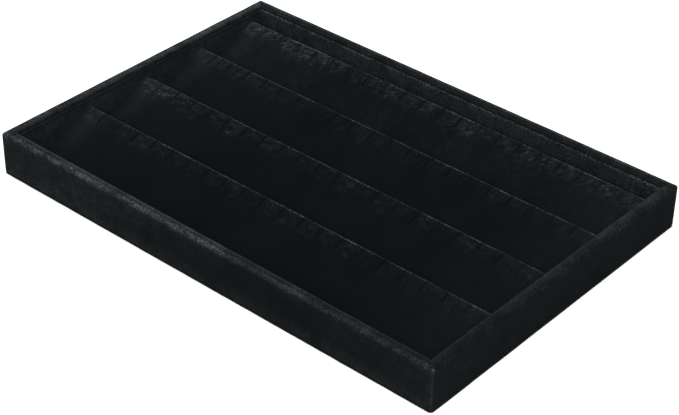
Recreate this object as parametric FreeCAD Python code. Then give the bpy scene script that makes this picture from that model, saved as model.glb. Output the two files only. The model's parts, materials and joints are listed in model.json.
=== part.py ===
import FreeCAD, Part
import math
import os

# Velvet-covered jewelry tray with four slitted ramps.
# Millimetres. Origin at the middle of the underside, +X along the length, +Y towards the back, +Z up.
# A rail, liner or brad is drawn on the front side (low Y) and turned to its own side in quarter turns.

Vector = FreeCAD.Vector

# Overall size, over the velvet
tray_length = 350.0
tray_width = 240.0
tray_height = 30.0

# Sheet stock
velvet = 0.8
rail_thickness = 6.0
base_thickness = 3.0
underside_thickness = 0.6
floor_card_thickness = 1.5
liner_card_thickness = 0.8
ramp_card_thickness = 1.0

# Rounding of the bare rails; the velvet over them is rounder by its own thickness
rim_outer_radius = 1.2
rim_inner_radius = 1.0
foot_radius = 0.3
corner_radius = 1.0

# Rebate for the base board, along the lower inner edge of the rails
rebate_depth = 3.0
base_clearance = 0.2
underside_inset = 2.5

# Lining
floor_clearance = 0.3
liner_drop = 2.0
liner_edge_radius = 0.3

# Ramps, evenly spaced between a narrow gutter in front and one behind
# The apex is where a ramp's slope and back would meet if the fold were sharp
ramp_count = 4
front_gutter = 7.1
back_gutter = 9.6
apex_height = 24.6
crest_radius = 0.5
ramp_gap = 0.3
ramp_end_clearance = 0.3

# Slits, cut through velvet and card just below each crest, with a margin at each end of the row
slit_count = 20
slit_margin = 16.15
slit_width = 1.2
slit_length = 9.5
slit_below_apex = 2.0
slit_overcut = 0.2

# Brads of flat wire with a T head and a chisel point; the head lies flush, with a little room all round
brad_width = 1.2
brad_depth = 1.0
brad_head_width = 1.9
brad_head_thickness = 0.6
brad_point = 1.5
brad_tip_width = 0.4
brad_clearance = 0.05
corner_brad_length = 14.0
corner_brad_edge = 7.0
base_brad_length = 12.0
base_brad_end = 25.0
long_side_brad_count = 6
short_side_brad_count = 4

# Levels and depths that follow from the sizes above
wall = velvet + rail_thickness + velvet
rail_inner = velvet + rail_thickness
rebate_edge = rail_inner - rebate_depth
rail_bottom = underside_thickness + velvet
rail_top = tray_height - velvet
base_top = underside_thickness + base_thickness
floor_card_top = base_top + floor_card_thickness
floor_top = floor_card_top + velvet
liner_top = tray_height - liner_drop
liner_thickness = liner_card_thickness + velvet
inner_length = tray_length - 2 * wall
inner_width = tray_width - 2 * wall
lined_width = inner_width - 2 * liner_thickness
ramp_length = inner_length - 2 * liner_thickness - 2 * ramp_end_clearance
ramp_pitch = (lined_width - front_gutter - back_gutter + ramp_gap) / ramp_count
ramp_depth = ramp_pitch - ramp_gap
ramp_toe = velvet
slope = math.atan2(apex_height - floor_top - ramp_toe, ramp_depth)
slit_pitch = (ramp_length - 2 * slit_margin) / (slit_count - 1)

side_names = ["front", "right", "back", "left"]


def rounded_face(corners):
    """Face in the YZ plane from (y, z, radius) corners, each corner rounded by its radius."""
    edges = []
    starts = []
    ends = []
    for index, (y, z, radius) in enumerate(corners):
        corner = Vector(0, y, z)
        before = Vector(0, *corners[index - 1][:2])
        after = Vector(0, *corners[(index + 1) % len(corners)][:2])
        back = (before - corner).normalize()
        forth = (after - corner).normalize()
        half_angle = back.getAngle(forth) / 2
        setback = radius / math.tan(half_angle)
        starts.append(corner + back * setback)
        ends.append(corner + forth * setback)
        if radius > 0:
            inward = (back + forth).normalize()
            middle = corner + inward * (radius / math.sin(half_angle) - radius)
            edges.append(Part.Arc(starts[-1], middle, ends[-1]).toShape())
    for index in range(len(corners)):
        edges.append(Part.makeLine(ends[index - 1], starts[index]))
    return Part.Face(Part.Wire(Part.__sortEdges__(edges)))


def run_along_x(face, length):
    """Solid of a YZ face carried along X, half its length to each side."""
    face.translate(Vector(-length / 2, 0, 0))
    return face.extrude(Vector(length, 0, 0))


def plate(length, width, bottom, thickness):
    """Flat plate centred on the Z axis."""
    return Part.makeBox(length, width, thickness, Vector(-length / 2, -width / 2, bottom))


def is_long(side):
    """Front and back run the length of the tray."""
    return side in ("front", "back")


def side_span(side):
    """Run of a side and the distance of its outer plane from the middle."""
    if is_long(side):
        return tray_length, tray_width / 2
    return tray_width, tray_length / 2


def turned(shape, side):
    """A shape drawn on the front side, turned to another side about the Z axis."""
    shape.rotate(Vector(0, 0, 0), Vector(0, 0, 1), 90 * side_names.index(side))
    return shape


def mitre_block(run, outer):
    """Trapezium over a side, with ends at 45 degrees and as deep as the wall."""
    short = run / 2 - wall
    corners = [(-run / 2, -outer), (run / 2, -outer), (short, wall - outer), (-short, wall - outer)]
    points = [Vector(x, y, 0) for x, y in corners]
    return Part.Face(Part.makePolygon(points + points[:1])).extrude(Vector(0, 0, tray_height))


def outline_block(inset):
    """The tray's outline with rounded upright corners, drawn in by an inset from the velvet's face."""
    block = plate(tray_length - 2 * inset, tray_width - 2 * inset, 0, tray_height)
    uprights = [edge for edge in block.Edges if abs(edge.tangentAt(edge.FirstParameter).z) > 0.5]
    return block.makeFillet(corner_radius + velvet - inset, uprights)


def side_solid(side, section, inset):
    """A section given as (depth from the outer plane, z, radius), mitred and rounded at its ends."""
    run, outer = side_span(side)
    face = rounded_face([(depth - outer, z, radius) for depth, z, radius in section])
    solid = run_along_x(face, run).common(mitre_block(run, outer))
    return turned(solid, side).common(outline_block(inset))


def rail(side):
    """Board rail with eased edges and a rebate for the base."""
    section = [
        (velvet, rail_bottom, foot_radius),
        (velvet, rail_top, rim_outer_radius),
        (rail_inner, rail_top, rim_inner_radius),
        (rail_inner, base_top, 0),
        (rebate_edge, base_top, 0),
        (rebate_edge, rail_bottom, 0),
    ]
    return side_solid(side, section, velvet)


def rail_velvet(side):
    """Velvet from under the rail, up its outside, over the rim and down to the base board."""
    section = [
        (rebate_edge, underside_thickness, 0),
        (0, underside_thickness, foot_radius + velvet),
        (0, tray_height, rim_outer_radius + velvet),
        (wall, tray_height, rim_inner_radius + velvet),
        (wall, base_top, 0),
        (rail_inner, base_top, 0),
        (rail_inner, rail_top, rim_inner_radius),
        (velvet, rail_top, rim_outer_radius),
        (velvet, rail_bottom, foot_radius),
        (rebate_edge, rail_bottom, 0),
    ]
    return side_solid(side, section, 0)


def liner_run(side):
    """Long liners fill the inside length; short ones stand between them."""
    if is_long(side):
        return inner_length
    return lined_width


def liner_card(side):
    """Card strip against the inside of a rail."""
    near = wall - side_span(side)[1]
    far = near + liner_card_thickness
    section = [
        (near, floor_top, 0),
        (near, liner_top - velvet, 0),
        (far, liner_top - velvet, liner_edge_radius),
        (far, floor_top, 0),
    ]
    return turned(run_along_x(rounded_face(section), liner_run(side)), side)


def liner_velvet(side):
    """Velvet over the face and the top edge of a liner card."""
    near = wall - side_span(side)[1]
    middle = near + liner_card_thickness
    far = near + liner_thickness
    section = [
        (near, liner_top - velvet, 0),
        (near, liner_top, 0),
        (far, liner_top, liner_edge_radius + velvet),
        (far, floor_top, 0),
        (middle, floor_top, 0),
        (middle, liner_top - velvet, liner_edge_radius),
    ]
    return turned(run_along_x(rounded_face(section), liner_run(side)), side)


def crest_y(row):
    """Plane of a ramp's back; row 0 is the front one."""
    return front_gutter - lined_width / 2 + ramp_depth + row * ramp_pitch


def ramp_section(row, inset, floor_inset, radius):
    """Wedge section of a ramp, drawn in by an inset from the velvet's toe, slope and back."""
    back = crest_y(row) - inset
    toe = crest_y(row) - ramp_depth + inset
    rise_at_toe = floor_top + ramp_toe + inset * math.tan(slope) - inset / math.cos(slope)
    rise_at_back = rise_at_toe + (back - toe) * math.tan(slope)
    bottom = floor_top + floor_inset
    if rise_at_toe > bottom:
        front_corners = [(toe, bottom, 0), (toe, rise_at_toe, 0)]
    else:
        front_corners = [(toe + (bottom - rise_at_toe) / math.tan(slope), bottom, 0)]
    return rounded_face(front_corners + [(back, rise_at_back, radius), (back, bottom, 0)])


def slit_cutters(row):
    """Blades square to the slope, one for each slit of a row."""
    depth = velvet + ramp_card_thickness + slit_overcut
    first = slit_margin - ramp_length / 2
    low_end = -slit_below_apex - slit_length
    blades = []
    for index in range(slit_count):
        corner = Vector(first + index * slit_pitch - slit_width / 2, low_end, -depth)
        blade = Part.makeBox(slit_width, slit_length, depth + slit_overcut, corner)
        blade.rotate(Vector(0, 0, 0), Vector(1, 0, 0), math.degrees(slope))
        blade.translate(Vector(0, crest_y(row), apex_height))
        blades.append(blade)
    return Part.makeCompound(blades)


def ramp_card(row):
    """Folded card tube, slit with the velvet."""
    outside = run_along_x(ramp_section(row, velvet, 0, crest_radius), ramp_length)
    skin = velvet + ramp_card_thickness
    hollow = run_along_x(ramp_section(row, skin, ramp_card_thickness, 0), ramp_length)
    return outside.cut(hollow).cut(slit_cutters(row))


def ramp_velvet(row):
    """Velvet over the toe, slope, crest and back of a ramp."""
    outside = run_along_x(ramp_section(row, 0, 0, crest_radius + velvet), ramp_length)
    inside = run_along_x(ramp_section(row, velvet, 0, crest_radius), ramp_length)
    return outside.cut(inside).cut(slit_cutters(row))


def brad(length, room):
    """Brad driven along Y with its head's face at the origin, or the hole for it when it gets room."""
    head = brad_head_width / 2 + room
    shank = brad_width / 2 + room
    tip = brad_tip_width / 2 + room
    neck = brad_head_thickness + room
    end = length + room
    half = [(head, 0), (head, neck), (shank, neck), (shank, end - brad_point), (tip, end)]
    points = [Vector(x, y, 0) for x, y in half] + [Vector(-x, y, 0) for x, y in reversed(half)]
    face = Part.Face(Part.makePolygon(points + points[:1]))
    thickness = brad_depth + 2 * room
    face.translate(Vector(0, 0, -thickness / 2))
    return face.extrude(Vector(0, 0, thickness))


def corner_brads(room):
    """Two brads at each end of the front and back rails, into the side rails."""
    across = tray_length / 2 - velvet - rail_thickness / 2
    heads = velvet - tray_width / 2
    brads = []
    for side in ("front", "back"):
        for x in (-across, across):
            for z in (rail_bottom + corner_brad_edge, rail_top - corner_brad_edge):
                one = brad(corner_brad_length, room)
                one.translate(Vector(x, heads, z))
                brads.append(turned(one, side))
    return brads


def base_brads(room):
    """Brads up through the edge of the base board, evenly spaced along each rail."""
    brads = []
    for side in side_names:
        run, outer = side_span(side)
        count = long_side_brad_count if is_long(side) else short_side_brad_count
        first = base_brad_end - run / 2
        step = (run - 2 * base_brad_end) / (count - 1)
        line = rail_inner - rebate_depth / 2 - outer
        for index in range(count):
            one = brad(base_brad_length, room)
            one.rotate(Vector(0, 0, 0), Vector(1, 0, 0), 90)
            one.translate(Vector(first + index * step, line, underside_thickness))
            brads.append(turned(one, side))
    return brads


def base_board():
    edge = 2 * (rebate_edge + base_clearance)
    return plate(tray_length - edge, tray_width - edge, underside_thickness, base_thickness)


def underside_sheet():
    edge = 2 * underside_inset
    return plate(tray_length - edge, tray_width - edge, 0, underside_thickness)


def floor_layer(bottom, thickness):
    """A layer of the floor, laid between the velvets of the rails."""
    edge = 2 * floor_clearance
    return plate(inner_length - edge, inner_width - edge, bottom, thickness)


def build():
    nodes = {}
    holes = Part.makeCompound(corner_brads(brad_clearance) + base_brads(brad_clearance))
    for side in side_names:
        nodes[side + "_rail"] = rail(side).cut(holes)
        nodes[side + "_rail_velvet"] = rail_velvet(side)
        nodes[side + "_liner_card"] = liner_card(side)
        nodes[side + "_liner_velvet"] = liner_velvet(side)
    for row in range(ramp_count):
        nodes["ramp_card_%d" % (row + 1)] = ramp_card(row)
        nodes["ramp_velvet_%d" % (row + 1)] = ramp_velvet(row)
    nodes["base_board"] = base_board().cut(holes)
    nodes["underside_sheet"] = underside_sheet()
    nodes["floor_card"] = floor_layer(base_top, floor_card_thickness)
    nodes["floor_velvet"] = floor_layer(floor_card_top, velvet)
    nodes["corner_brads"] = Part.makeCompound(corner_brads(0))
    nodes["base_brads"] = Part.makeCompound(base_brads(0))
    return nodes


os.makedirs("parts", exist_ok=True)
for name, shape in build().items():
    shape.exportStep("parts/%s.step" % name)
    print(name, len(shape.Solids), "solid(s), valid", shape.isValid(), "volume %.1f" % shape.Volume)
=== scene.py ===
import json
import math

import bpy
import numpy as np
from mathutils import Matrix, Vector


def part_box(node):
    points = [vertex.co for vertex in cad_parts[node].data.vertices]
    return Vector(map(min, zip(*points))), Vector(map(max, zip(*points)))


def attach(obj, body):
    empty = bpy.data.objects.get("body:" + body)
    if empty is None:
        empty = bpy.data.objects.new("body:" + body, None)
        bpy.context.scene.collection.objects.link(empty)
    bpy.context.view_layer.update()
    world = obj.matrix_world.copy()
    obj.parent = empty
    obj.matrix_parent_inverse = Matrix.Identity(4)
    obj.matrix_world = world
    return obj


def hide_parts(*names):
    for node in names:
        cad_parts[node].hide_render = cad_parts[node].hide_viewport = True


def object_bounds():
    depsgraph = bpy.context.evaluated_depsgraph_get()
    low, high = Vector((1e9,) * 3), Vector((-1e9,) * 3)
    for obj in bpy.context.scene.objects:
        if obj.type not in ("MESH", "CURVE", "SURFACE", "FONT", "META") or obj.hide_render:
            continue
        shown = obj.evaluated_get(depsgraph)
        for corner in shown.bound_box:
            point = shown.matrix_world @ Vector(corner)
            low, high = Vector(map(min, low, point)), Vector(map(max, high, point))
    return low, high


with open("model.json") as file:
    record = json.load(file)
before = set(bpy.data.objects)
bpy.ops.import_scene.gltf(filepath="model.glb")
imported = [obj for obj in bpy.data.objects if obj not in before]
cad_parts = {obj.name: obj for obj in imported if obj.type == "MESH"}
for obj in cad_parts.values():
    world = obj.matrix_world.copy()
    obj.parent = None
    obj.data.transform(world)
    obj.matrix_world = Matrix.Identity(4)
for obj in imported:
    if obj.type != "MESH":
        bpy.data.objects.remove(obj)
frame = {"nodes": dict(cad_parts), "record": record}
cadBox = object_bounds()
mm = 0.001
print("frame:", len(frame["nodes"]), "nodes")

# sizes read from the frame, in metres
halfLength, halfWidth, rimHeight = cadBox[1]
wrapLow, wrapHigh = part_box("front_rail_velvet")
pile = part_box("front_rail")[0].y - wrapLow.y     # thickness of the velvet
wallDepth = wrapHigh.y - wrapLow.y
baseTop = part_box("base_board")[1].z
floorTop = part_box("floor_velvet")[1].z
sideNames = ["front", "right", "back", "left"]
shadeAngle = math.radians(50)                    # folds sharper than this are shaded as edges


# fractions of a run, evenly spaced and clear of its ends: place by place over the count plus one
def inside(count):
    return (np.arange(count) + 1) / (count + 1)


# straight runs between corners, with an arc of the given radius at each inner corner
# an arc starts radius times the tangent of half the turn before its corner, and swings about its hub
# gives points, the normals on the left hand of the way, and 1 on arcs or 0 on runs
def roundedPath(corners, radii, runs, arcSteps):
    corners = [np.array(corner, float) for corner in corners]
    points, normals, bends = [], [], []
    start = corners[0]
    for i, corner in enumerate(corners[1:], 1):
        way = (corner - corners[i - 1]) / np.linalg.norm(corner - corners[i - 1])
        left = np.array([-way[1], way[0]])
        isLast = i == len(corners) - 1
        turn = setback = 0.0
        if not isLast:
            onward = (corners[i + 1] - corner) / np.linalg.norm(corners[i + 1] - corner)
            turn = math.atan2(way[0] * onward[1] - way[1] * onward[0], way @ onward)
            setback = radii[i - 1] * math.tan(abs(turn) / 2)
        stop = corner - way * setback
        share = np.asarray(runs[i - 1])[:, None]
        points.append(start + (stop - start) * share)
        normals.append(left + 0 * share)
        bends.append(0 * share[:, 0])
        if isLast:
            continue
        swing = turn * np.linspace(0, 1, arcSteps + 1)[:, None]
        turned = np.hstack([left[0] * np.cos(swing) - left[1] * np.sin(swing),
                            left[0] * np.sin(swing) + left[1] * np.cos(swing)])
        hub = stop + left * radii[i - 1] * np.sign(turn)
        points.append(hub - turned * radii[i - 1] * np.sign(turn))
        normals.append(turned)
        bends.append(1 + 0 * swing[:, 0])
        start = corner + onward * setback
    return np.vstack(points), np.vstack(normals), np.concatenate(bends)


# distance along a row of points: the running sum of the steps
def pathLength(points):
    return np.concatenate([[0], np.cumsum(np.linalg.norm(np.diff(points, axis=0), axis=1))])


# from 0 to 1 with a smooth start and end: three squares less two cubes of the clipped share
def smoothStep(low, high, value):
    x = np.clip((value - low) / (high - low), 0, 1)
    return x * x * (3 - 2 * x)


# slow unevenness: the mean of a few sine waves with random direction and phase, times the height
def ripple(a, b, wavelengths, height, seed):
    draw = np.random.default_rng(seed)
    total = 0 * (a + b)
    for wavelength in wavelengths:
        angle, phase = draw.uniform(0, 2 * math.pi, 2)
        way = a * math.cos(angle) + b * math.sin(angle)
        total = total + np.sin(2 * math.pi * way / wavelength + phase)
    return height * total / len(wavelengths)


# from the front side to another side, in quarter turns about the Z axis: each makes x of minus y, and y of x
def onSide(points, side):
    x, y, z = points[..., 0], points[..., 1], points[..., 2]
    quarter = sideNames.index(side)
    turned = [(x, y), (-y, x), (-x, -y), (y, -x)][quarter]
    return np.stack([turned[0], turned[1], z], -1)


# closed cloth of real thickness: an outer grid, an inner grid and a wall at every edge of the kept cells
def clothShell(name, outer, inner, napAndLight, bloom, keep=None):
    rows, cols = outer.shape[:2]
    if keep is None:
        keep = np.ones((rows - 1, cols - 1), bool)
    number = np.arange(rows * cols).reshape(rows, cols)
    under = number + rows * cols
    top = np.stack([number[:-1, :-1], number[1:, :-1], number[1:, 1:], number[:-1, 1:]], -1)
    faces = [top[keep], top[keep][:, ::-1] + rows * cols]
    padded = np.pad(keep, 1)
    ahead, behind = padded[1:, 1:-1], padded[:-1, 1:-1]
    across = np.stack([number[:, :-1], number[:, 1:], under[:, 1:], under[:, :-1]], -1)
    faces += [across[ahead & ~behind], across[behind & ~ahead][:, ::-1]]
    ahead, behind = padded[1:-1, 1:], padded[1:-1, :-1]
    along = np.stack([number[1:, :], number[:-1, :], under[:-1, :], under[1:, :]], -1)
    faces += [along[ahead & ~behind], along[behind & ~ahead][:, ::-1]]
    faces = np.concatenate(faces)
    # outside means away from the inner grid
    a, b, c = (outer.reshape(-1, 3)[top[rows // 2, cols // 2][k]] for k in (0, 1, 3))
    if np.cross(b - a, c - a) @ (outer - inner)[rows // 2, cols // 2] < 0:
        faces = faces[:, ::-1]
    points = np.concatenate([outer.reshape(-1, 3), inner.reshape(-1, 3)])
    mesh = bpy.data.meshes.new(name)
    mesh.vertices.add(len(points))
    mesh.vertices.foreach_set("co", points.astype(np.float32).ravel())
    mesh.loops.add(faces.size)
    mesh.loops.foreach_set("vertex_index", faces.astype(np.int32).ravel())
    mesh.polygons.add(len(faces))
    mesh.polygons.foreach_set("loop_start", np.arange(0, faces.size, 4, dtype=np.int32))
    mesh.polygons.foreach_set("use_smooth", np.ones(len(faces), bool))
    mesh.update(calc_edges=True)
    mesh.set_sharp_from_angle(angle=shadeAngle)
    for key, value in (("napAndLight", napAndLight), ("bloom", bloom)):
        bothGrids = np.concatenate([value.ravel(), 0 * value.ravel()])    # none on the inner grid
        layer = mesh.attributes.new(key, "FLOAT", "POINT")
        layer.data.foreach_set("value", bothGrids.astype(np.float32))
    piece = bpy.data.objects.new(name, mesh)
    bpy.context.scene.collection.objects.link(piece)
    return piece


# outer and inner grid of a cloth: each point of a section plus its normal times a shift, then placed by a
# rule of the piece
def twoLayers(points, normals, outerShift, innerShift, place):
    layers = []
    for shift in (outerShift, innerShift):
        across = points[None, :, 0] + normals[None, :, 0] * shift
        height = points[None, :, 1] + normals[None, :, 1] * shift
        layers.append(place(across, height))
    return layers


# a finished cloth piece: it takes its material, hangs from the root and hides the part it stands for
def settle(piece, node, material, restsOn, held="stretched"):
    piece.data.materials.append(material)
    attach(piece, "root")
    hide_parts(node)


# a new node material with a principled surface; sockets are set by name
def newMaterial(name, **sockets):
    material = bpy.data.materials.new(name)
    material.use_nodes = True
    nodes, links = material.node_tree.nodes, material.node_tree.links
    surface = nodes["Principled BSDF"]
    for socket, value in sockets.items():
        surface.inputs[socket].default_value = value
    return material, nodes, links, surface


# a new node; a setting goes to the socket of that name, or else to the node itself
def addNode(nodes, kind, **settings):
    node = nodes.new(kind)
    for key, value in settings.items():
        if key in node.inputs:
            node.inputs[key].default_value = value
        else:
            setattr(node, key, value)
    return node


# noise on object coordinates
def noiseNode(nodes, links, place, scale, detail, roughness):
    node = addNode(nodes, "ShaderNodeTexNoise", Scale=scale, Detail=detail, Roughness=roughness)
    links.new(place.outputs["Object"], node.inputs["Vector"])
    return node


# value carried in proportion from one range to another, and held at its ends
def rangeNode(nodes, links, source, fromLow, fromHigh, toLow, toHigh):
    node = addNode(nodes, "ShaderNodeMapRange")
    sockets = ("From Min", "From Max", "To Min", "To Max")
    for key, value in zip(sockets, (fromLow, fromHigh, toLow, toHigh)):
        node.inputs[key].default_value = value
    links.new(source, node.inputs["Value"])
    return node.outputs["Result"]


# one operation on two values, each a number or the output of a node
def mathNode(nodes, links, operation, a, b):
    node = addNode(nodes, "ShaderNodeMath", operation=operation)
    for socket, value in zip(node.inputs, (a, b)):
        if isinstance(value, (int, float)):
            socket.default_value = value
        else:
            links.new(value, socket)
    return node.outputs["Value"]


# first colour where the factor is 0 and second where it is 1; sockets 6, 7 and 2 are the node's colours
def mixColour(nodes, links, factor, first, second):
    node = addNode(nodes, "ShaderNodeMix", data_type="RGBA")
    links.new(factor, node.inputs["Factor"])
    node.inputs[6].default_value = (*first, 1)
    node.inputs[7].default_value = (*second, 1)
    return node.outputs[2]


# fine relief: the normal leans by the slope of the height
def addBump(nodes, links, surface, height, distance, strength):
    bump = addNode(nodes, "ShaderNodeBump", Distance=distance, Strength=strength)
    links.new(height, bump.inputs["Height"])
    links.new(bump.outputs["Normal"], surface.inputs["Normal"])


pileFinish = {
    "deep": (0.0049, 0.0061, 0.0065),    # looking into the pile
    "paleWearAndLight": (0.085, 0.100, 0.105),    # pale end: pile that lies flat at folds and worn edges, and painted light and highlights
    "specular": 0.0,
    "sheen": 0.04,
    "sheenRoughness": 0.4,
    "sheenTint": (0.82, 0.95, 1.0, 1),
    # noises: how many in a metre, detail and roughness
    "tufts": (1700.0, 1.0, 0.5),
    "specks": (800.0, 2.0, 0.6),
    "patches": (150.0, 4.0, 0.7),
    "clouds": (40.0, 2.0, 0.5),
    # what each noise does to the tone: from low and high, to low and high
    "speckTone": (0.34, 0.66, 0.02, 0.92),
    "patchTone": (0.3, 0.7, 0.25, 1.75),
    "cloudTone": (0.3, 0.7, 0.5, 1.5),
    "glintTone": (0.52, 0.72, 0.0, 1.4),
    "glintPower": 1.7,                   # painted highlights: glints show mostly where the pale tone is strong
    "hazeTone": (0.3, 0.7, 0.0, 0.014),
    "tuftTone": (0.3, 0.7, 0.2, 1.8),
    "bloomTone": (0.3, 0.7, 0.7, 1.3),
    "roughTone": (0.3, 0.7, 0.85, 1.0),
    "relief": (0.0003, 0.5),             # height of the tufts in metres, and strength
}


# black velvet, deep pile mixed with pale pile by the sum of four parts: the pale tone times specks times
# patches times clouds, a power of the pale tone times glints that are painted highlights, clouds times tufts
# as a haze, and bloom times patches; the pale tone is rubbed pile with painted light and shade, bloom an
# even paler tone that is mostly painted light, and both are attributes of the mesh
def velvetMaterial():
    f = pileFinish
    material, nodes, links, surface = newMaterial(
        "blackVelvet", **{"Specular IOR Level": f["specular"], "Sheen Weight": f["sheen"],
                          "Sheen Roughness": f["sheenRoughness"], "Sheen Tint": f["sheenTint"]})
    place = addNode(nodes, "ShaderNodeTexCoord")
    tufts, specks, patches, clouds = (noiseNode(nodes, links, place, *f[key]).outputs["Fac"]
                                      for key in ("tufts", "specks", "patches", "clouds"))
    napAndLight, bloom = (addNode(nodes, "ShaderNodeAttribute", attribute_name=key).outputs["Fac"]
                  for key in ("napAndLight", "bloom"))
    lie = napAndLight
    for noise, tone in ((specks, "speckTone"), (patches, "patchTone"), (clouds, "cloudTone")):
        lie = mathNode(nodes, links, "MULTIPLY", lie, rangeNode(nodes, links, noise, *f[tone]))
    # painted highlights: bright glints added to the colour where the pale tone is strong
    strong = mathNode(nodes, links, "POWER", napAndLight, f["glintPower"])
    glint = mathNode(nodes, links, "MULTIPLY", strong, rangeNode(nodes, links, specks, *f["glintTone"]))
    haze = mathNode(nodes, links, "MULTIPLY", rangeNode(nodes, links, clouds, *f["hazeTone"]),
                    rangeNode(nodes, links, tufts, *f["tuftTone"]))
    even = mathNode(nodes, links, "MULTIPLY", bloom, rangeNode(nodes, links, patches, *f["bloomTone"]))
    for part in (glint, haze, even):
        lie = mathNode(nodes, links, "ADD", lie, part)
    links.new(mixColour(nodes, links, lie, f["deep"], f["paleWearAndLight"]), surface.inputs["Base Color"])
    links.new(rangeNode(nodes, links, patches, *f["roughTone"]), surface.inputs["Roughness"])
    addBump(nodes, links, surface, tufts, *f["relief"])
    return material


feltFinish = {
    "dark": (0.009, 0.009, 0.010),
    "fibre": (0.040, 0.041, 0.043),
    "specular": 0.15,
    "fibres": (420.0, 6.0, 0.75),        # in a metre, detail and roughness
    "fibreBend": 2.5,
    "clumps": (45.0, 3.0, 0.6),
    "fibreTone": (0.42, 0.66, 0.0, 1.0),
    "clumpTone": (0.3, 0.7, 0.35, 1.0),
    "rough": (0.8, 1.0),
    "relief": (0.0002, 0.4),
}


# pressed felt: short fibres with no direction, bent by their own noise, times thicker and thinner clumps
def feltMaterial():
    f = feltFinish
    material, nodes, links, surface = newMaterial("pressedFelt", **{"Specular IOR Level": f["specular"]})
    place = addNode(nodes, "ShaderNodeTexCoord")
    fibres = noiseNode(nodes, links, place, *f["fibres"])
    fibres.inputs["Distortion"].default_value = f["fibreBend"]
    clumps = noiseNode(nodes, links, place, *f["clumps"])
    fibre = rangeNode(nodes, links, fibres.outputs["Fac"], *f["fibreTone"])
    clump = rangeNode(nodes, links, clumps.outputs["Fac"], *f["clumpTone"])
    shade = mathNode(nodes, links, "MULTIPLY", fibre, clump)
    links.new(mixColour(nodes, links, shade, f["dark"], f["fibre"]), surface.inputs["Base Color"])
    links.new(rangeNode(nodes, links, fibre, 0, 1, *f["rough"]), surface.inputs["Roughness"])
    addBump(nodes, links, surface, fibres.outputs["Fac"], *f["relief"])
    return material


fleckTone = (0.35, 0.65, 0.0, 1.0)
fleckRelief = (0.0001, 0.3)
stockFinishes = {
    "fibreboard": {"dark": (0.30, 0.22, 0.15), "light": (0.47, 0.37, 0.27), "metal": 0.0,
                   "flecks": (700.0, 4.0, 0.6), "rough": (0.7, 0.9)},
    "greyboard": {"dark": (0.22, 0.21, 0.20), "light": (0.40, 0.39, 0.37), "metal": 0.0,
                  "flecks": (500.0, 4.0, 0.6), "rough": (0.75, 0.95)},
    "bradWire": {"dark": (0.42, 0.42, 0.43), "light": (0.60, 0.60, 0.61), "metal": 1.0,
                 "flecks": (1200.0, 4.0, 0.6), "rough": (0.25, 0.45)},
}


# inner stock: fine flecks from a dark to a light tone
def stockMaterial(name):
    f = stockFinishes[name]
    material, nodes, links, surface = newMaterial(name, Metallic=f["metal"])
    place = addNode(nodes, "ShaderNodeTexCoord")
    flecks = noiseNode(nodes, links, place, *f["flecks"])
    fleck = rangeNode(nodes, links, flecks.outputs["Fac"], *fleckTone)
    links.new(mixColour(nodes, links, fleck, f["dark"], f["light"]), surface.inputs["Base Color"])
    links.new(rangeNode(nodes, links, fleck, 0, 1, *f["rough"]), surface.inputs["Roughness"])
    addBump(nodes, links, surface, flecks.outputs["Fac"], *fleckRelief)
    return material


velvet = velvetMaterial()
felt = feltMaterial()
stock = {name: stockMaterial(name) for name in stockFinishes}
print("materials:", len(stock) + 2)


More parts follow.
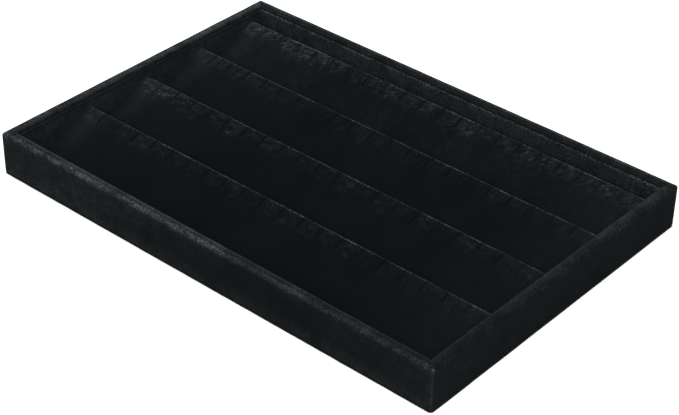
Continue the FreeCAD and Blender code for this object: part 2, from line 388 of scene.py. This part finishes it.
railWrap = {
    "rimOuter": 2.0 * mm,       # rounding of the rim and of the lower edge
    "rimInner": 1.8 * mm,
    "foot": 1.1 * mm,
    "corner": 1.8 * mm,         # upright corners
    "foldUnder": 3.8 * mm,
    "stations": 240,
    "cornerSteps": 8,
    # steps under the foot, up the face, over the rim and down inside, and on each fold
    "runSteps": (3, 22, 6, 18),
    "arcSteps": 9,
    "mitreLag": 0.3,            # how late the deeper layers turn to the mitre
    "seamDepth": 0.06 * mm,     # the velvet dips a little where two wraps meet
    "seamStart": 0.7,           # part of a rounded end where the dip starts
    "unevenness": 0.06 * mm,    # most that the slow waves of the cloth rise or fall
    "shapeWaves": (9 * mm, 16 * mm, 31 * mm),
    "firstSeed": 11,
    "cornerSheenAndWear": 0.18,          # painted sheen and brushed pile: a light line down each upright corner, with a painted highlight as a brighter spot at its top
    "cornerDepth": 2 * mm,
    "spotHighlight": 0.7,
    "spotSize": 1.6 * mm,
    "spotInset": 0.6 * mm,
    # tone of the rim at five places from the start of each run to its end, counter-clockwise from above:
    # worn pile and painted light, paler towards the key lamp at the left and back
    "rimWearAndLight": {"front": (0.58, 0.62, 0.56, 0.26, 0.20), "right": (0.14, 0.12, 0.24, 0.27, 0.33),
               "back": (0.29, 0.28, 0.30, 0.30, 0.34), "left": (0.61, 0.54, 0.50, 0.46, 0.42)},
    # share of the rim's tone at seven depths from its outer fold to its inner fold: painted light and sheen,
    # mostly on the fold that faces a lamp
    "shareDepth": (0.04, 0.20, 0.36, 0.50, 0.62, 0.76, 0.92),
    "rimShare": {"front": (0.8, 1.35, 1.12, 0.58, 0.62, 1.22, 0.55),
                 "right": (0.6, 0.68, 0.76, 0.95, 1.15, 1.42, 0.7),
                 "back": (2.9, 3.1, 1.7, 0.75, 0.45, 0.38, 0.3),
                 "left": (1.0, 1.05, 1.12, 1.2, 1.15, 0.9, 0.4)},
    # part of the rim's tone that is even and not speckled, most on the outer and inner folds
    "evenDepth": (0.05, 0.45, 0.62, 0.80),
    "evenShare": (0.35, 0.05, 0.30, 0.60),
    "evenBloom": 0.5,           # bloom for each part of even nap
    "rimTilt": (0.05, 0.5),     # how far upwards the pile faces where the tone of wear and painted light starts and is full
    "shoulder": 0.3,            # share of the rim's nap that runs on below the outer fold, and how far
    "shoulderReach": 1.3 * mm,
    "waver": 0.2,               # how far the lower bound of the rubbed rim wanders
    "waverWaves": (0.017, 0.029, 0.047, 0.083),     # in parts of a run
    "waverSeed": 5,
    # painted light on the outer face: its tone at the start and end of its run, and the part of the run
    # where it changes
    "faceLight": {"front": (0.20, 0.05), "right": (0.05, 0.05), "back": (0.06, 0.06), "left": (0.06, 0.08)},
    "faceFade": 0.6,
    "faceShare": (0.7, 0.15),   # how much of it goes to the speckled pale tone and how much to bloom
    # painted light on the outer face, paler towards the start and end of its run
    "faceEndLight": {"front": (0.0, 0.16), "right": (0.10, 0.0), "back": (0.05, 0.05), "left": (0.05, 0.0)},
    "endReach": 16 * mm,
    # painted bounce light from the floor, paler towards the foot
    "lowBounceLight": {"front": 0.13, "right": 0.0, "back": 0.03, "left": 0.05},
    "lowStart": (0.3 * mm, 1.6 * mm),
    "lowFade": (2 * mm, 13 * mm),
    "innerNap": 0.10,           # of the inner face
    "blotch": 0.28,             # how much the nap differs from place to place
    "rimWaves": (17 * mm, 29 * mm, 43 * mm, 71 * mm),
    "rimSeed": 20,
    "faceWaves": (13 * mm, 21 * mm, 37 * mm, 61 * mm),
    "faceSeed": 40,
}


# straight part of half a run: 1 less an eighth of the corner's circle over the half
def straightPart(half):
    return 1 - 0.25 * math.pi * railWrap["corner"] / half


# plan of a wrap with rounded outer corners: station p runs from 0 in the middle to 1 at the mitre
# shallow depths turn on an arc about the corner's hub, by up to an eighth of a turn; deeper ones run on
# straight and end at the mitre
def wrapPlan(p, depth, half):
    corner, lag = railWrap["corner"], railWrap["mitreLag"]
    straight = half - corner
    part = straightPart(half)
    p, sign = np.abs(p), np.sign(p)
    lead = np.clip(p / part, 0, 1)
    turn = np.clip((p - part) / (1 - part), 0, 1)
    reach = corner - depth
    angle = turn * math.pi / 4
    x = np.where(reach > 0, straight * lead + reach * np.sin(angle),
                 (straight + (1 + lag) * reach) * lead - lag * reach * turn)
    y = np.where(reach > 0, corner - reach * np.cos(angle), depth)
    return x * sign, y


# section of the velvet on a rail, as depth from the outer plane and height
def wrapSection():
    w = railWrap
    foot = wrapLow.z
    corners = [(w["foldUnder"], foot), (0, foot), (0, rimHeight),
               (wallDepth, rimHeight), (wallDepth, baseTop)]
    radii = [w["foot"], w["rimOuter"], w["rimInner"]]
    under, face, rim, inner = (inside(steps) for steps in w["runSteps"])
    return roundedPath(corners, radii, [np.r_[0, under], face, rim, np.r_[inner, 1]], w["arcSteps"])[:2]


# pale tone and bloom of a wrap: the rim's wear and painted light along its run times its share across, where
# the pile faces upwards and just below that; painted light on the outer face, more at its ends and foot; and
# painted sheen at the corners
def wrapNap(side, points, normals, p, half, part, seed):
    w = railWrap
    depth, height = points[None, :, 0], points[None, :, 1]
    along = (p + 1) / 2
    # rim
    rimWearAndLight = np.interp(along, np.linspace(0, 1, len(w["rimWearAndLight"][side])), w["rimWearAndLight"][side])
    share = np.interp(depth / wallDepth, w["shareDepth"], w["rimShare"][side])
    waver = ripple(along, 0, w["waverWaves"], w["waver"], sideNames.index(side) + w["waverSeed"])
    tilt = np.clip(normals[None, :, 1], 0, 1)
    upward = smoothStep(*w["rimTilt"], tilt + waver * 4 * tilt * (1 - tilt))
    belowFold = np.maximum(rimHeight - w["rimOuter"] - height, 0)
    shoulder = w["shoulder"] * np.exp(-belowFold / w["shoulderReach"]) * (depth < w["rimOuter"])
    # worn pile and painted light on the rim, paler where it faces up and on the fold that faces a lamp
    rim = rimWearAndLight * share * np.maximum(upward, shoulder)
    rim = rim * (1 + ripple(p * half, depth, w["rimWaves"], w["blotch"], seed + w["rimSeed"]))
    even = np.interp(depth / wallDepth, w["evenDepth"], w["evenShare"])
    # outer face: painted light, with painted bounce light towards the foot
    outward, inward = np.clip(-normals[None, :, 0], 0, 1), np.clip(normals[None, :, 0], 0, 1)
    low = w["lowBounceLight"][side] * (1 - smoothStep(*w["lowFade"], height)) * smoothStep(*w["lowStart"], height)
    lightStart, lightEnd = w["faceEndLight"][side]
    reach = w["endReach"] / (2 * half)
    atEnds = lightStart * np.exp(-along / reach) + lightEnd * np.exp((along - 1) / reach)
    faceStart, faceEnd = w["faceLight"][side]
    face = faceStart + (faceEnd - faceStart) * smoothStep(0.0, w["faceFade"], along)
    face = (face + low + atEnds) * outward
    face = face * (1 + ripple(p * half, height, w["faceWaves"], w["blotch"], seed + w["faceSeed"]))
    # upright corners: painted sheen and brushed pile, and a painted highlight at the top
    atCorner = smoothStep(0.0, 1.0, (np.abs(p) - part) / (1 - part))
    corner = w["cornerSheenAndWear"] * atCorner * (depth < w["cornerDepth"])
    fromTop = np.hypot(depth - w["spotInset"], height - rimHeight + w["spotInset"])
    fromTop = np.hypot((1 - np.abs(p)) * half, fromTop)
    spot = w["spotHighlight"] * np.exp(-(fromTop / w["spotSize"]) ** 2)
    faceAsNap, faceAsBloom = w["faceShare"]
    napAndLight = np.maximum(rim * (1 - even), spot) + faceAsNap * face + w["innerNap"] * inward
    bloom = w["evenBloom"] * np.maximum(rim * even, corner) + faceAsBloom * face
    return napAndLight, bloom


# velvet on a rail: its section carried along the run, stations closer at the rounded ends
def makeWrap(side, seed):
    w = railWrap
    half, outer = (halfLength, halfWidth) if side in ("front", "back") else (halfWidth, halfLength)
    points, normals = wrapSection()
    part = straightPart(half)
    ends = part + (1 - part) * np.linspace(0, 1, w["cornerSteps"] + 1)
    p = np.r_[-ends[::-1], np.linspace(-part, part, w["stations"])[1:-1], ends][:, None]
    seam = smoothStep(w["seamStart"], 1.0, (np.abs(p) - part) / (1 - part))
    shift = ripple(p * half, pathLength(points)[None, :], w["shapeWaves"], w["unevenness"], seed)
    shift = (shift - w["unevenness"]) * (1 - seam) - w["seamDepth"] * seam

    def place(depth, height):
        x, y = wrapPlan(p, depth, half)
        return onSide(np.stack([x, y - outer, height], -1), side)

    layers = twoLayers(points, normals, shift, -pile + 0 * shift, place)
    piece = clothShell(side + "RailVelvet", *layers, *wrapNap(side, points, normals, p, half, part, seed))
    flat = (pathLength(points)[-1], 2 * half)
    settle(piece, side + "_rail_velvet", velvet, side + "_rail")


for index, side in enumerate(sideNames):
    makeWrap(side, railWrap["firstSeed"] + index)
print("rail wraps: 4")


linerCover = {
    "topEdge": 1.1 * mm,
    "stations": 160,
    "runSteps": (2, 20),        # across the top and down the face
    "arcSteps": 6,
    "unevenness": 0.08 * mm,
    "shapeWaves": (14 * mm, 37 * mm, 60 * mm),
    "firstSeed": 31,
    # painted light: paler top edge and face of each liner
    "edgeLight": {"front": 0.3, "right": 0.3, "back": 0.45, "left": 0.07},
    "faceLight": {"front": 0.1, "right": 0.1, "back": 0.18, "left": 0.12},
    # painted light as an even tone on the top edge, and on the face at the start and end of its run
    "edgeBloom": {"front": 0.0, "right": 0.0, "back": 0.0, "left": 0.05},
    "faceBloom": {"front": (0.05, 0.05), "right": (0.05, 0.05), "back": (0.10, 0.18), "left": (0.13, 0.13)},
}


# velvet over a liner card: its top edge, then its face down to the floor, carried along the run
def makeLiner(side, seed):
    c = linerCover
    low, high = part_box(side + "_liner_velvet")
    thickness, length = sorted([high.x - low.x, high.y - low.y])
    half = length / 2
    outer = halfWidth if side in ("front", "back") else halfLength
    near, far = wallDepth, wallDepth + thickness
    corners = [(near, high.z), (far, high.z), (far, low.z)]
    top, face = (inside(steps) for steps in c["runSteps"])
    runs = [np.r_[0, top], np.r_[face, 1]]
    points, normals, bends = roundedPath(corners, [c["topEdge"]], runs, c["arcSteps"])
    along = np.linspace(-half, half, c["stations"])[:, None]
    shift = ripple(along, points[None, :, 1], c["shapeWaves"], c["unevenness"], seed) - c["unevenness"]

    def place(depth, height):
        return onSide(np.stack([along + 0 * depth, depth - outer, height], -1), side)

    layers = twoLayers(points, normals, shift, -pile + 0 * shift, place)
    onEdge = bends[None, :] > 0
    # painted light on the liner's top edge and face
    napAndLight = np.where(onEdge, c["edgeLight"][side], c["faceLight"][side]) + 0 * along
    faceBloom = np.interp(along, [-half, half], c["faceBloom"][side])
    bloom = np.where(onEdge, c["edgeBloom"][side], faceBloom)
    piece = clothShell(side + "LinerVelvet", *layers, napAndLight, bloom)
    flat = (pathLength(points)[-1], 2 * half)
    settle(piece, side + "_liner_velvet", velvet, side + "_liner_card")


for index, side in enumerate(sideNames):
    makeLiner(side, linerCover["firstSeed"] + index)
print("liners: 4")


rampCover = {
    "firstSeed": 51,
    "crest": 1.3 * mm,           # rounding of the crest and of the toe
    "toe": 0.82 * mm,
    "apex": 24.6 * mm,           # where slope and back would meet
    "endGap": 0.25 * mm,         # the pile reaches this far past the card, to the liners
    "slopeSteps": (25, 4, 15),   # up to the tabs, up to the slits and along the slits
    "backSteps": 14,
    "arcSteps": 7,
    "slopeFacing": 0.9,          # least part of a normal that is upwards on the slope
    "backFacing": 0.99,          # and that is backwards on the back
    # columns beside a slit, from its edge to the middle of a tab, and in each end margin
    "columnSteps": np.array([0, 0.08, 0.15, 0.17, 0.45, 1.0, 1.8, 2.7, 3.7, 4.8, 5.9, 7.0]) * mm,
    "endSteps": 8,
    # slits
    "slitCount": 20,
    "margin": 16.15 * mm,        # from the ends of the ramp to the first and last slit
    "slitTop": 2.0 * mm,         # from the apex, down the slope
    "slitBottom": 11.5 * mm,
    "rowSlack": 1e-6,            # keeps the rows at a slit's ends in it
    "slitOpen": 0.36 * mm,       # half width in the middle and at the ends
    "slitShut": 0.05 * mm,
    "gape": (1.0, 0.88, 0.82, 0.8),          # share of it for each ramp, front to back
    "openness": (0.2, 0.9),      # share of it for single slits
    "opensAt": (0.0, 0.05),      # part of a slit's length where it starts to open, and where it shuts
    "shutsAt": (0.8, 1.0),
    "openPower": 0.5,            # low for a long opening with blunt ends
    "openReach": 1.4 * mm,       # how far beside a slit the cloth follows its edge
    "lean": 0.012,               # most that a slit leans, and how far beside it and below the apex
    "leanReach": 3 * mm,
    "leanDepth": 20 * mm,
    "turnIn": 1.1 * mm,          # the velvet is pressed into the slit, past the card
    "turnWidth": 0.16 * mm,
    "lipDip": 0.45 * mm,         # lips round into the slit, and one or the other stands up
    "dipReach": 0.7 * mm,
    "dipStart": 0.12,
    "lipLift": 0.45 * mm,
    "liftReach": 2.2 * mm,
    # tabs
    "tabReach": (7 * mm, 16 * mm),
    "belowTabs": 3 * mm,         # fine rows run on this far
    "crestFade": (1.5 * mm, 4 * mm),         # no swelling right at the crest
    "tabPower": 1.5,
    "tabSwell": 0.30 * mm,
    "swellShare": (0.5, 1.2),
    "unevenness": 0.10 * mm,     # slow waves of the whole cover
    "shapeWaves": (13 * mm, 29 * mm, 53 * mm),
    "crumple": 0.26 * mm,        # finer unevenness of the tabs
    "crumpleWaves": np.geomspace(2.6, 6.5, 7) * mm,
    "crumpleSeed": 200,
    # painted sheen and worn pile on the crest, for each ramp, front to back
    "crestSheenAndWear": (0.42, 0.38, 0.42, 0.50),
    "crestLeft": (0.0, 0.0, 0.0, 0.4),       # more of it towards the left end
    "crestStart": (2 * mm, 2 * mm, 2.5 * mm, 4 * mm),    # from the left end to where it starts
    "startFade": 1 * mm,
    "crestTilt": (0.75, 0.97),   # how far upwards the pile faces where the line starts and is full
    "glow": 0.8,                 # how much the line brightens and dulls by turns
    "glowWaves": (19 * mm, 31 * mm, 47 * mm),
    "glowSeed": 100,
    # worn pile and painted light on the tabs, for each ramp, front to back
    "tabWearAndLight": (0.047, 0.044, 0.035, 0.103),
    "leftLight": (0.013, 0.14, 0.050, 0.160),  # painted light added towards the left end
    "rampLight": (0.0, 0.0, 0.005, 0.035),     # painted light on the whole ramp
    "tabLeast": 0.3,             # share of it beside the slits, where shade is painted, and how soon it rises from them
    "tabRise": 0.3,
    "tabTone": (0.5, 1.5),       # share of it for single tabs
    "tabStart": 4 * mm,          # from the left end to where it is full
    "mottle": 3.5,               # how blotchy the tabs are
    "mottleWaves": np.geomspace(2.0, 9.0, 11) * mm,
    "mottleRange": (0.05, 2.8),
    "mottleSeed": 300,
    "fray": 4 * mm,              # how far the tabs' lower bound wanders
    "frayWaves": (7 * mm, 11 * mm, 19 * mm),
    "fraySeed": 400,
    "slitShade": 1.4 * mm,       # reach of the painted shade beside a slit, its fade at the slit's end,
    "shadeFade": 2 * mm,         # and what it takes from the tabs and from the crest
    "shadeShare": (0.95, 0.6),
    # even tone: painted light
    "leftReach": (-150 * mm, -40 * mm),      # what is meant by towards the left and the right end
    "rightReach": (80 * mm, 160 * mm),
    "endBloom": (0.02, 0.06, 0.028),         # painted light towards the left, more beside the left liner where its shadow falls, and at the right
    "linerReach": 20 * mm,       # of the painted light beside the left liner, how it leans, and a paler edge
    "linerLean": 0.6,
    "linerEdge": 1.5 * mm,
    # painted light on the ramp's shaded back
    "backBloom": 0.03,
}


# columns of a ramp: mirrored steps away from each slit, and plain steps in the end margins
# gives them, the slits' places and the number of the column on the left edge of each slit
def rampColumns(low, high):
    c = rampCover
    slits = np.linspace(low + c["margin"], high - c["margin"], c["slitCount"])
    steps = c["slitOpen"] + c["columnSteps"]
    inner = (slits[:, None] + np.r_[-steps[::-1], steps]).ravel()
    leftEnd = np.r_[low, low + inside(c["endSteps"] - 1) * (inner[0] - low)]
    rightEnd = np.linspace(inner[-1], high, c["endSteps"] + 1)[1:]
    gap = len(leftEnd) + np.arange(c["slitCount"]) * len(steps) * 2 + len(steps) - 1
    return np.r_[leftEnd, inner, rightEnd], slits, gap


# section of the velvet on a ramp, with rows at the slits' ends: points, normals, how far each is below the
# apex, and 1 on arcs or 0 on runs
def rampSection(toe, back):
    c = rampCover
    corners = [(toe, floorTop), (toe, floorTop + pile), (back, c["apex"]), (back, floorTop)]
    slope = np.array([back - toe, c["apex"] - floorTop - pile])
    length = np.linalg.norm(slope)
    angle = math.atan2(slope[1], slope[0])
    fromToe = c["toe"] * math.tan((math.pi / 2 - angle) / 2)
    fromApex = c["crest"] * math.tan((math.pi / 2 + angle) / 2)
    levels = [length - fromToe, c["tabReach"][1] + c["belowTabs"], c["slitBottom"], c["slitTop"]]
    rows = np.concatenate([np.linspace(start, stop, steps + 1)[1:]
                           for start, stop, steps in zip(levels, levels[1:], c["slopeSteps"])])
    share = (length - fromToe - rows) / (length - fromToe - fromApex)
    runs = [np.r_[0], share, np.r_[inside(c["backSteps"]), 1]]
    points, normals, bends = roundedPath(corners, [c["toe"], c["crest"]], runs, c["arcSteps"])
    # distance below the apex on the slope, and a large one elsewhere
    onSlope = normals[:, 1] > c["slopeFacing"]
    below = np.where(onSlope, np.hypot(points[:, 0] - back, points[:, 1] - c["apex"]), 1.0)
    return points, normals, below[None, :], bends


# for each column its nearest slit, the way from it, the way from its edge, and the tab's arch,
# a power of a sine that is 0 at a slit and 1 half way to the next
def besideSlits(x, slits):
    c = rampCover
    nearest = np.abs(x[:, None] - slits[None, :]).argmin(1)
    offset = x - slits[nearest]
    fromEdge = np.maximum(np.abs(offset) - c["slitOpen"], 0)[:, None]
    toMiddle = np.clip(np.abs(offset) / (slits[1] - slits[0]), 0, 0.5)
    tab = np.sin(math.pi * toMiddle)[:, None] ** c["tabPower"]
    return nearest, offset, fromEdge, tab


# outer and inner grid of a ramp: columns slide towards a slit that is less than fully open, fading with the
# way from its edge; the shift is the tabs' swell plus lifted lips, slow waves and a finer crumple of the
# tabs, less the lips' dip outside, and less pile and turned edge inside
def rampLayers(row, seed, draw, x, slits, section):
    c = rampCover
    points, normals, below = section[:3]
    nearest, offset, fromEdge, tab = besideSlits(x, slits)
    count = c["slitCount"]
    # how far open the slit is at each row
    span = (below - c["slitTop"]) / (c["slitBottom"] - c["slitTop"])
    inSlit = (span > -c["rowSlack"]) & (span < 1 + c["rowSlack"])
    openness = draw.uniform(*c["openness"], count)[nearest][:, None] * c["gape"][row - 1]
    opens, shuts = draw.uniform(*c["opensAt"], count), draw.uniform(*c["shutsAt"], count)
    stretch = (span - opens[nearest][:, None]) / (shuts - opens)[nearest][:, None]
    lens = np.where(inSlit, np.sin(math.pi * np.clip(stretch, 0, 1)) ** c["openPower"], 0)
    halfOpen = c["slitShut"] + (c["slitOpen"] * openness - c["slitShut"]) * lens
    slide = (halfOpen - c["slitOpen"]) * np.exp(-fromEdge / c["openReach"]) * np.sign(offset)[:, None]
    lean = draw.uniform(-c["lean"], c["lean"], count)[nearest][:, None] * (below - c["slitTop"])
    lean = np.where(below < c["leanDepth"], lean * np.exp(-fromEdge / c["leanReach"]), 0)
    acrossX = x[:, None] + slide + lean
    # lips and tabs
    lip = c["lipDip"] * np.exp(-(fromEdge / c["dipReach"]) ** 2) * smoothStep(0, c["dipStart"], lens)
    onTabs = (1 - smoothStep(*c["tabReach"], below)) * smoothStep(*c["crestFade"], below)
    swell = c["tabSwell"] * tab * onTabs * draw.uniform(*c["swellShare"], count)[nearest][:, None]
    sideOf = (offset > 0).astype(int)
    lift = draw.uniform(0, c["lipLift"], (2, count))[sideOf, nearest][:, None]
    swell = swell + lift * np.exp(-fromEdge / c["liftReach"]) * lens
    # waves
    along = pathLength(points)[None, :]
    wave = ripple(x[:, None], along, c["shapeWaves"], c["unevenness"], seed)
    crumple = ripple(x[:, None], along, c["crumpleWaves"], c["crumple"], seed + c["crumpleSeed"])
    swell = swell + wave + onTabs * crumple
    turned = c["turnIn"] * (fromEdge < c["turnWidth"]) * inSlit

    def place(y, z):
        return np.stack([acrossX + 0 * y, y, np.maximum(z, floorTop)], -1)

    return twoLayers(points, normals, swell - lip, swell - pile - turned, place)


# cells of a ramp that are cloth: all but those between the two edges of a slit
def rampCells(x, gap, below):
    c = rampCover
    middle = (below[0, :-1] + below[0, 1:]) / 2
    cut = (middle > c["slitTop"]) & (middle < c["slitBottom"])
    keep = np.ones((len(x) - 1, len(cut)), bool)
    keep[np.ix_(gap, np.flatnonzero(cut))] = False
    return keep


# pale tone and bloom of a ramp: a thin line of painted sheen and worn pile over the crest, brighter and
# duller by turns, mottled tabs of worn pile and painted light below it with painted shade beside the slits,
# and painted light as an even tone towards the ends and on the back
def rampNap(row, seed, draw, x, slits, section, leftX):
    c = rampCover
    points, normals, below, bends = section
    fromEdge, tab = besideSlits(x, slits)[2:]
    x = x[:, None]
    along = pathLength(points)[None, :]
    leftEnd, rightEnd = 1 - smoothStep(*c["leftReach"], x), smoothStep(*c["rightReach"], x)
    # painted shade beside each slit, fading out below the slit's end
    shade = 1 - smoothStep(0, c["slitShade"], fromEdge)
    shade = shade * (1 - smoothStep(-c["shadeFade"], c["shadeFade"], below - c["slitBottom"]))
    shadeTab, shadeCrest = c["shadeShare"]
    # tabs: worn pile and painted light, with painted shade beside the slits
    tabTone = draw.uniform(*c["tabTone"], c["slitCount"] + 1)[np.searchsorted(slits, x)]
    tabWearAndLight = c["tabWearAndLight"][row - 1] + c["leftLight"][row - 1] * leftEnd
    tabWearAndLight = tabWearAndLight * (c["tabLeast"] + (1 - c["tabLeast"]) * tab ** c["tabRise"] * tabTone)
    tabWearAndLight = tabWearAndLight * smoothStep(leftX, leftX + c["tabStart"], x)
    mottle = 1 + ripple(x, along, c["mottleWaves"], c["mottle"], seed + c["mottleSeed"])
    fray = ripple(x, 0, c["frayWaves"], c["fray"], seed + c["fraySeed"])
    frayed = 1 - smoothStep(*c["tabReach"], below + fray)
    napAndLight = tabWearAndLight * frayed * np.clip(mottle, *c["mottleRange"]) * (1 - shadeTab * shade)
    napAndLight = napAndLight + c["rampLight"][row - 1]
    # crest: painted sheen and worn pile on the part that faces up
    upperHalf = points[:, 1] > c["apex"] / 2
    overTop = smoothStep(*c["crestTilt"], normals[:, 1]) * upperHalf * bends
    glow = 1 + ripple(x, 0, c["glowWaves"], c["glow"], seed + c["glowSeed"])
    crestSheenAndWear = c["crestSheenAndWear"][row - 1] * (1 + c["crestLeft"][row - 1] * leftEnd)
    fromStart = x - leftX - c["crestStart"][row - 1]
    crestSheenAndWear = crestSheenAndWear * smoothStep(-c["startFade"], c["startFade"], fromStart)
    napAndLight = np.maximum(napAndLight, crestSheenAndWear * overTop[None, :] * glow * (1 - shadeCrest * shade))
    # even tone: painted light towards the ends, beside the left liner and on the back
    fromLiner = x - c["linerLean"] * (points[None, :, 1] - floorTop)
    besideLiner = 1 - smoothStep(leftX, leftX + c["linerReach"], fromLiner)
    besideLiner = besideLiner + np.exp((leftX - x) / c["linerEdge"])
    towardsLeft, atLiner, towardsRight = c["endBloom"]
    bloom = towardsLeft * leftEnd + atLiner * besideLiner + towardsRight * rightEnd
    bloom = bloom + c["backBloom"] * (normals[None, :, 0] > c["backFacing"])
    return napAndLight, bloom + 0 * napAndLight


# velvet on a ramp: its section carried along its columns
def makeRamp(row, seed):
    low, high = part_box("ramp_velvet_%d" % row)
    section = rampSection(low.y, high.y)
    points, below = section[0], section[2]
    x, slits, gap = rampColumns(low.x, high.x)
    x[[0, -1]] += np.array([-1, 1]) * rampCover["endGap"]
    draw = np.random.default_rng(seed)
    layers = rampLayers(row, seed, draw, x, slits, section)
    napAndLight, bloom = rampNap(row, seed, draw, x, slits, section, low.x)
    piece = clothShell("rampVelvet%d" % row, *layers, napAndLight, bloom, rampCells(x, gap, below))
    flat = (pathLength(points)[-1], x[-1] - x[0])
    settle(piece, "ramp_velvet_%d" % row, velvet, "ramp_card_%d" % row)


for row in range(1, 5):
    makeRamp(row, rampCover["firstSeed"] + row - 1)
print("ramps: 4")


# steps are along the length and the width, and the face that shows is the upper or the lower one
flatCloth = {
    "floor": {"node": "floor_velvet", "restsOn": "floor_card", "held": "laid", "steps": (90, 64),
              "unevenness": 0.05 * mm, "seed": 71, "faceUp": True},
    "underside": {"node": "underside_sheet", "restsOn": "base_board", "held": "stretched", "steps": (90, 64),
                  "unevenness": 0.03 * mm, "seed": 72, "faceUp": False},
}
flatWaves = (17 * mm, 31 * mm, 55 * mm)


# flat cloth between two levels, uneven only towards the inside so that it keeps its size
def makeFlat(name, material):
    c = flatCloth[name]
    low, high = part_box(c["node"])
    x = np.linspace(low.x, high.x, c["steps"][0])[:, None]
    y = np.linspace(low.y, high.y, c["steps"][1])[None, :]
    dent = c["unevenness"] + ripple(x, y, flatWaves, c["unevenness"], c["seed"])
    levels = (high.z - dent, low.z + 0 * dent) if c["faceUp"] else (low.z + dent, high.z + 0 * dent)
    outer, inner = (np.stack([x + 0 * y, y + 0 * x, level], -1) for level in levels)
    piece = clothShell(name + "Cloth", outer, inner, 0 * dent, 0 * dent)
    settle(piece, c["node"], material, c["restsOn"], c["held"])


makeFlat("floor", velvet)
makeFlat("underside", felt)
print("flat cloths: 2")


stockFor = {"board": "fibreboard", "card": "greyboard", "brad": "bradWire"}
slotOf = {part["node"]: part["material_slot"] for part in frame["record"]["subparts"]}
for name, node in frame["nodes"].items():
    if slotOf[name] in stockFor:
        node.data.materials.clear()
        node.data.materials.append(stock[stockFor[slotOf[name]]])
print("inner stock finished")


studio = {
    "floorSize": 8.0,
    "floorTone": (0.80, 0.80, 0.80),
    "contactTone": (0.02, 0.02, 0.02),       # of the floor right beside the tray
    "floorLift": 0.62,           # added to the floor where the camera sees it, less in the contact shadow
    "contact": 0.0017,           # reach of the contact shadow
    "contactRange": (0.64, 0.76),
    "ambient": 0.40,
    "keyPlace": (-0.85, 0.45, 1.10),
    "keySize": 1.1,
    "keyPower": 11.0,
    "frontPlace": (0.75, -1.0, 1.0),
    "frontSize": 0.9,
    "frontPower": 12.0,
}


# 1 for rays that show the stage itself: camera, glossy or transmission
def showsStage(nodes, links):
    path = addNode(nodes, "ShaderNodeLightPath")
    seen = mathNode(nodes, links, "MAXIMUM", path.outputs["Is Camera Ray"], path.outputs["Is Glossy Ray"])
    return mathNode(nodes, links, "MAXIMUM", seen, path.outputs["Is Transmission Ray"])


# a square of pale paper, dark in the contact shadow; where it shows it also gives off lift times clear floor
def makeFloor():
    half = studio["floorSize"] / 2
    corners = [(-half, -half, 0), (half, -half, 0), (half, half, 0), (-half, half, 0)]
    mesh = bpy.data.meshes.new("studioFloor")
    mesh.from_pydata(corners, [], [(0, 1, 2, 3)])
    floor = bpy.data.objects.new("studioFloor", mesh)
    bpy.context.scene.collection.objects.link(floor)
    material, nodes, links, surface = newMaterial("palePaper", **{
        "Roughness": 1.0, "Specular IOR Level": 0.0, "Emission Color": (1, 1, 1, 1)})
    nearby = addNode(nodes, "ShaderNodeAmbientOcclusion", Distance=studio["contact"])
    clear = rangeNode(nodes, links, nearby.outputs["AO"], *studio["contactRange"], 0.0, 1.0)
    paper = mixColour(nodes, links, clear, studio["contactTone"], studio["floorTone"])
    links.new(paper, surface.inputs["Base Color"])
    lift = mathNode(nodes, links, "MULTIPLY", showsStage(nodes, links), studio["floorLift"])
    links.new(mathNode(nodes, links, "MULTIPLY", lift, clear), surface.inputs["Emission Strength"])
    mesh.materials.append(material)


# white air: as strong as the ambient light, and 1 where it shows
def makeWorld():
    world = bpy.data.worlds.new("studioAir")
    world.use_nodes = True
    nodes, links = world.node_tree.nodes, world.node_tree.links
    strength = rangeNode(nodes, links, showsStage(nodes, links), 0, 1, studio["ambient"], 1.0)
    links.new(strength, nodes["Background"].inputs["Strength"])
    nodes["Background"].inputs["Color"].default_value = (1, 1, 1, 1)
    bpy.context.scene.world = world


# a round soft lamp at its place, turned to the origin
def makeLamp(name):
    data = bpy.data.lights.new(name + "Lamp", "AREA")
    data.shape = "DISK"
    data.size = studio[name + "Size"]
    data.energy = studio[name + "Power"]
    lamp = bpy.data.objects.new(name + "Lamp", data)
    bpy.context.scene.collection.objects.link(lamp)
    lamp.location = studio[name + "Place"]
    lamp.rotation_euler = (-lamp.location).to_track_quat("-Z", "Y").to_euler()


makeFloor()
makeWorld()
makeLamp("key")
makeLamp("front")
bpy.context.scene.view_settings.view_transform = "Standard"
print("studio ready")


photoView = {
    "place": (0.6404, -0.7457, 0.6726),
    "azimuth": 40.446,           # degrees
    "elevation": 34.661,
    "roll": 1.125,
    "focalPixels": 1890.2,
    "pictureWidth": 679,
    "sensor": 36.0,
    "clipStart": 0.01,
}


# camera axes: back from azimuth and elevation, right square to it and level, up square to both, then the
# roll; the lens is the focal length in pixels over the picture's width, times the sensor's width
def makeCamera():
    v = photoView
    azimuth, elevation, roll = (math.radians(v[key]) for key in ("azimuth", "elevation", "roll"))
    back = np.array([math.sin(azimuth) * math.cos(elevation), -math.cos(azimuth) * math.cos(elevation),
                     math.sin(elevation)])
    right = np.cross([0, 0, 1], back)
    right = right / np.linalg.norm(right)
    up = np.cross(back, right)
    right, up = (math.cos(roll) * right + math.sin(roll) * up, math.cos(roll) * up - math.sin(roll) * right)
    data = bpy.data.cameras.new("photoCamera")
    data.sensor_width = v["sensor"]
    data.sensor_fit = "HORIZONTAL"
    data.lens = v["focalPixels"] / v["pictureWidth"] * v["sensor"]
    data.clip_start = v["clipStart"]
    camera = bpy.data.objects.new("photoCamera", data)
    bpy.context.scene.collection.objects.link(camera)
    turn = Matrix(np.column_stack([right, up, back]).tolist()).to_4x4()
    camera.matrix_world = Matrix.Translation(v["place"]) @ turn
    bpy.context.scene.camera = camera


makeCamera()
print("camera ready")
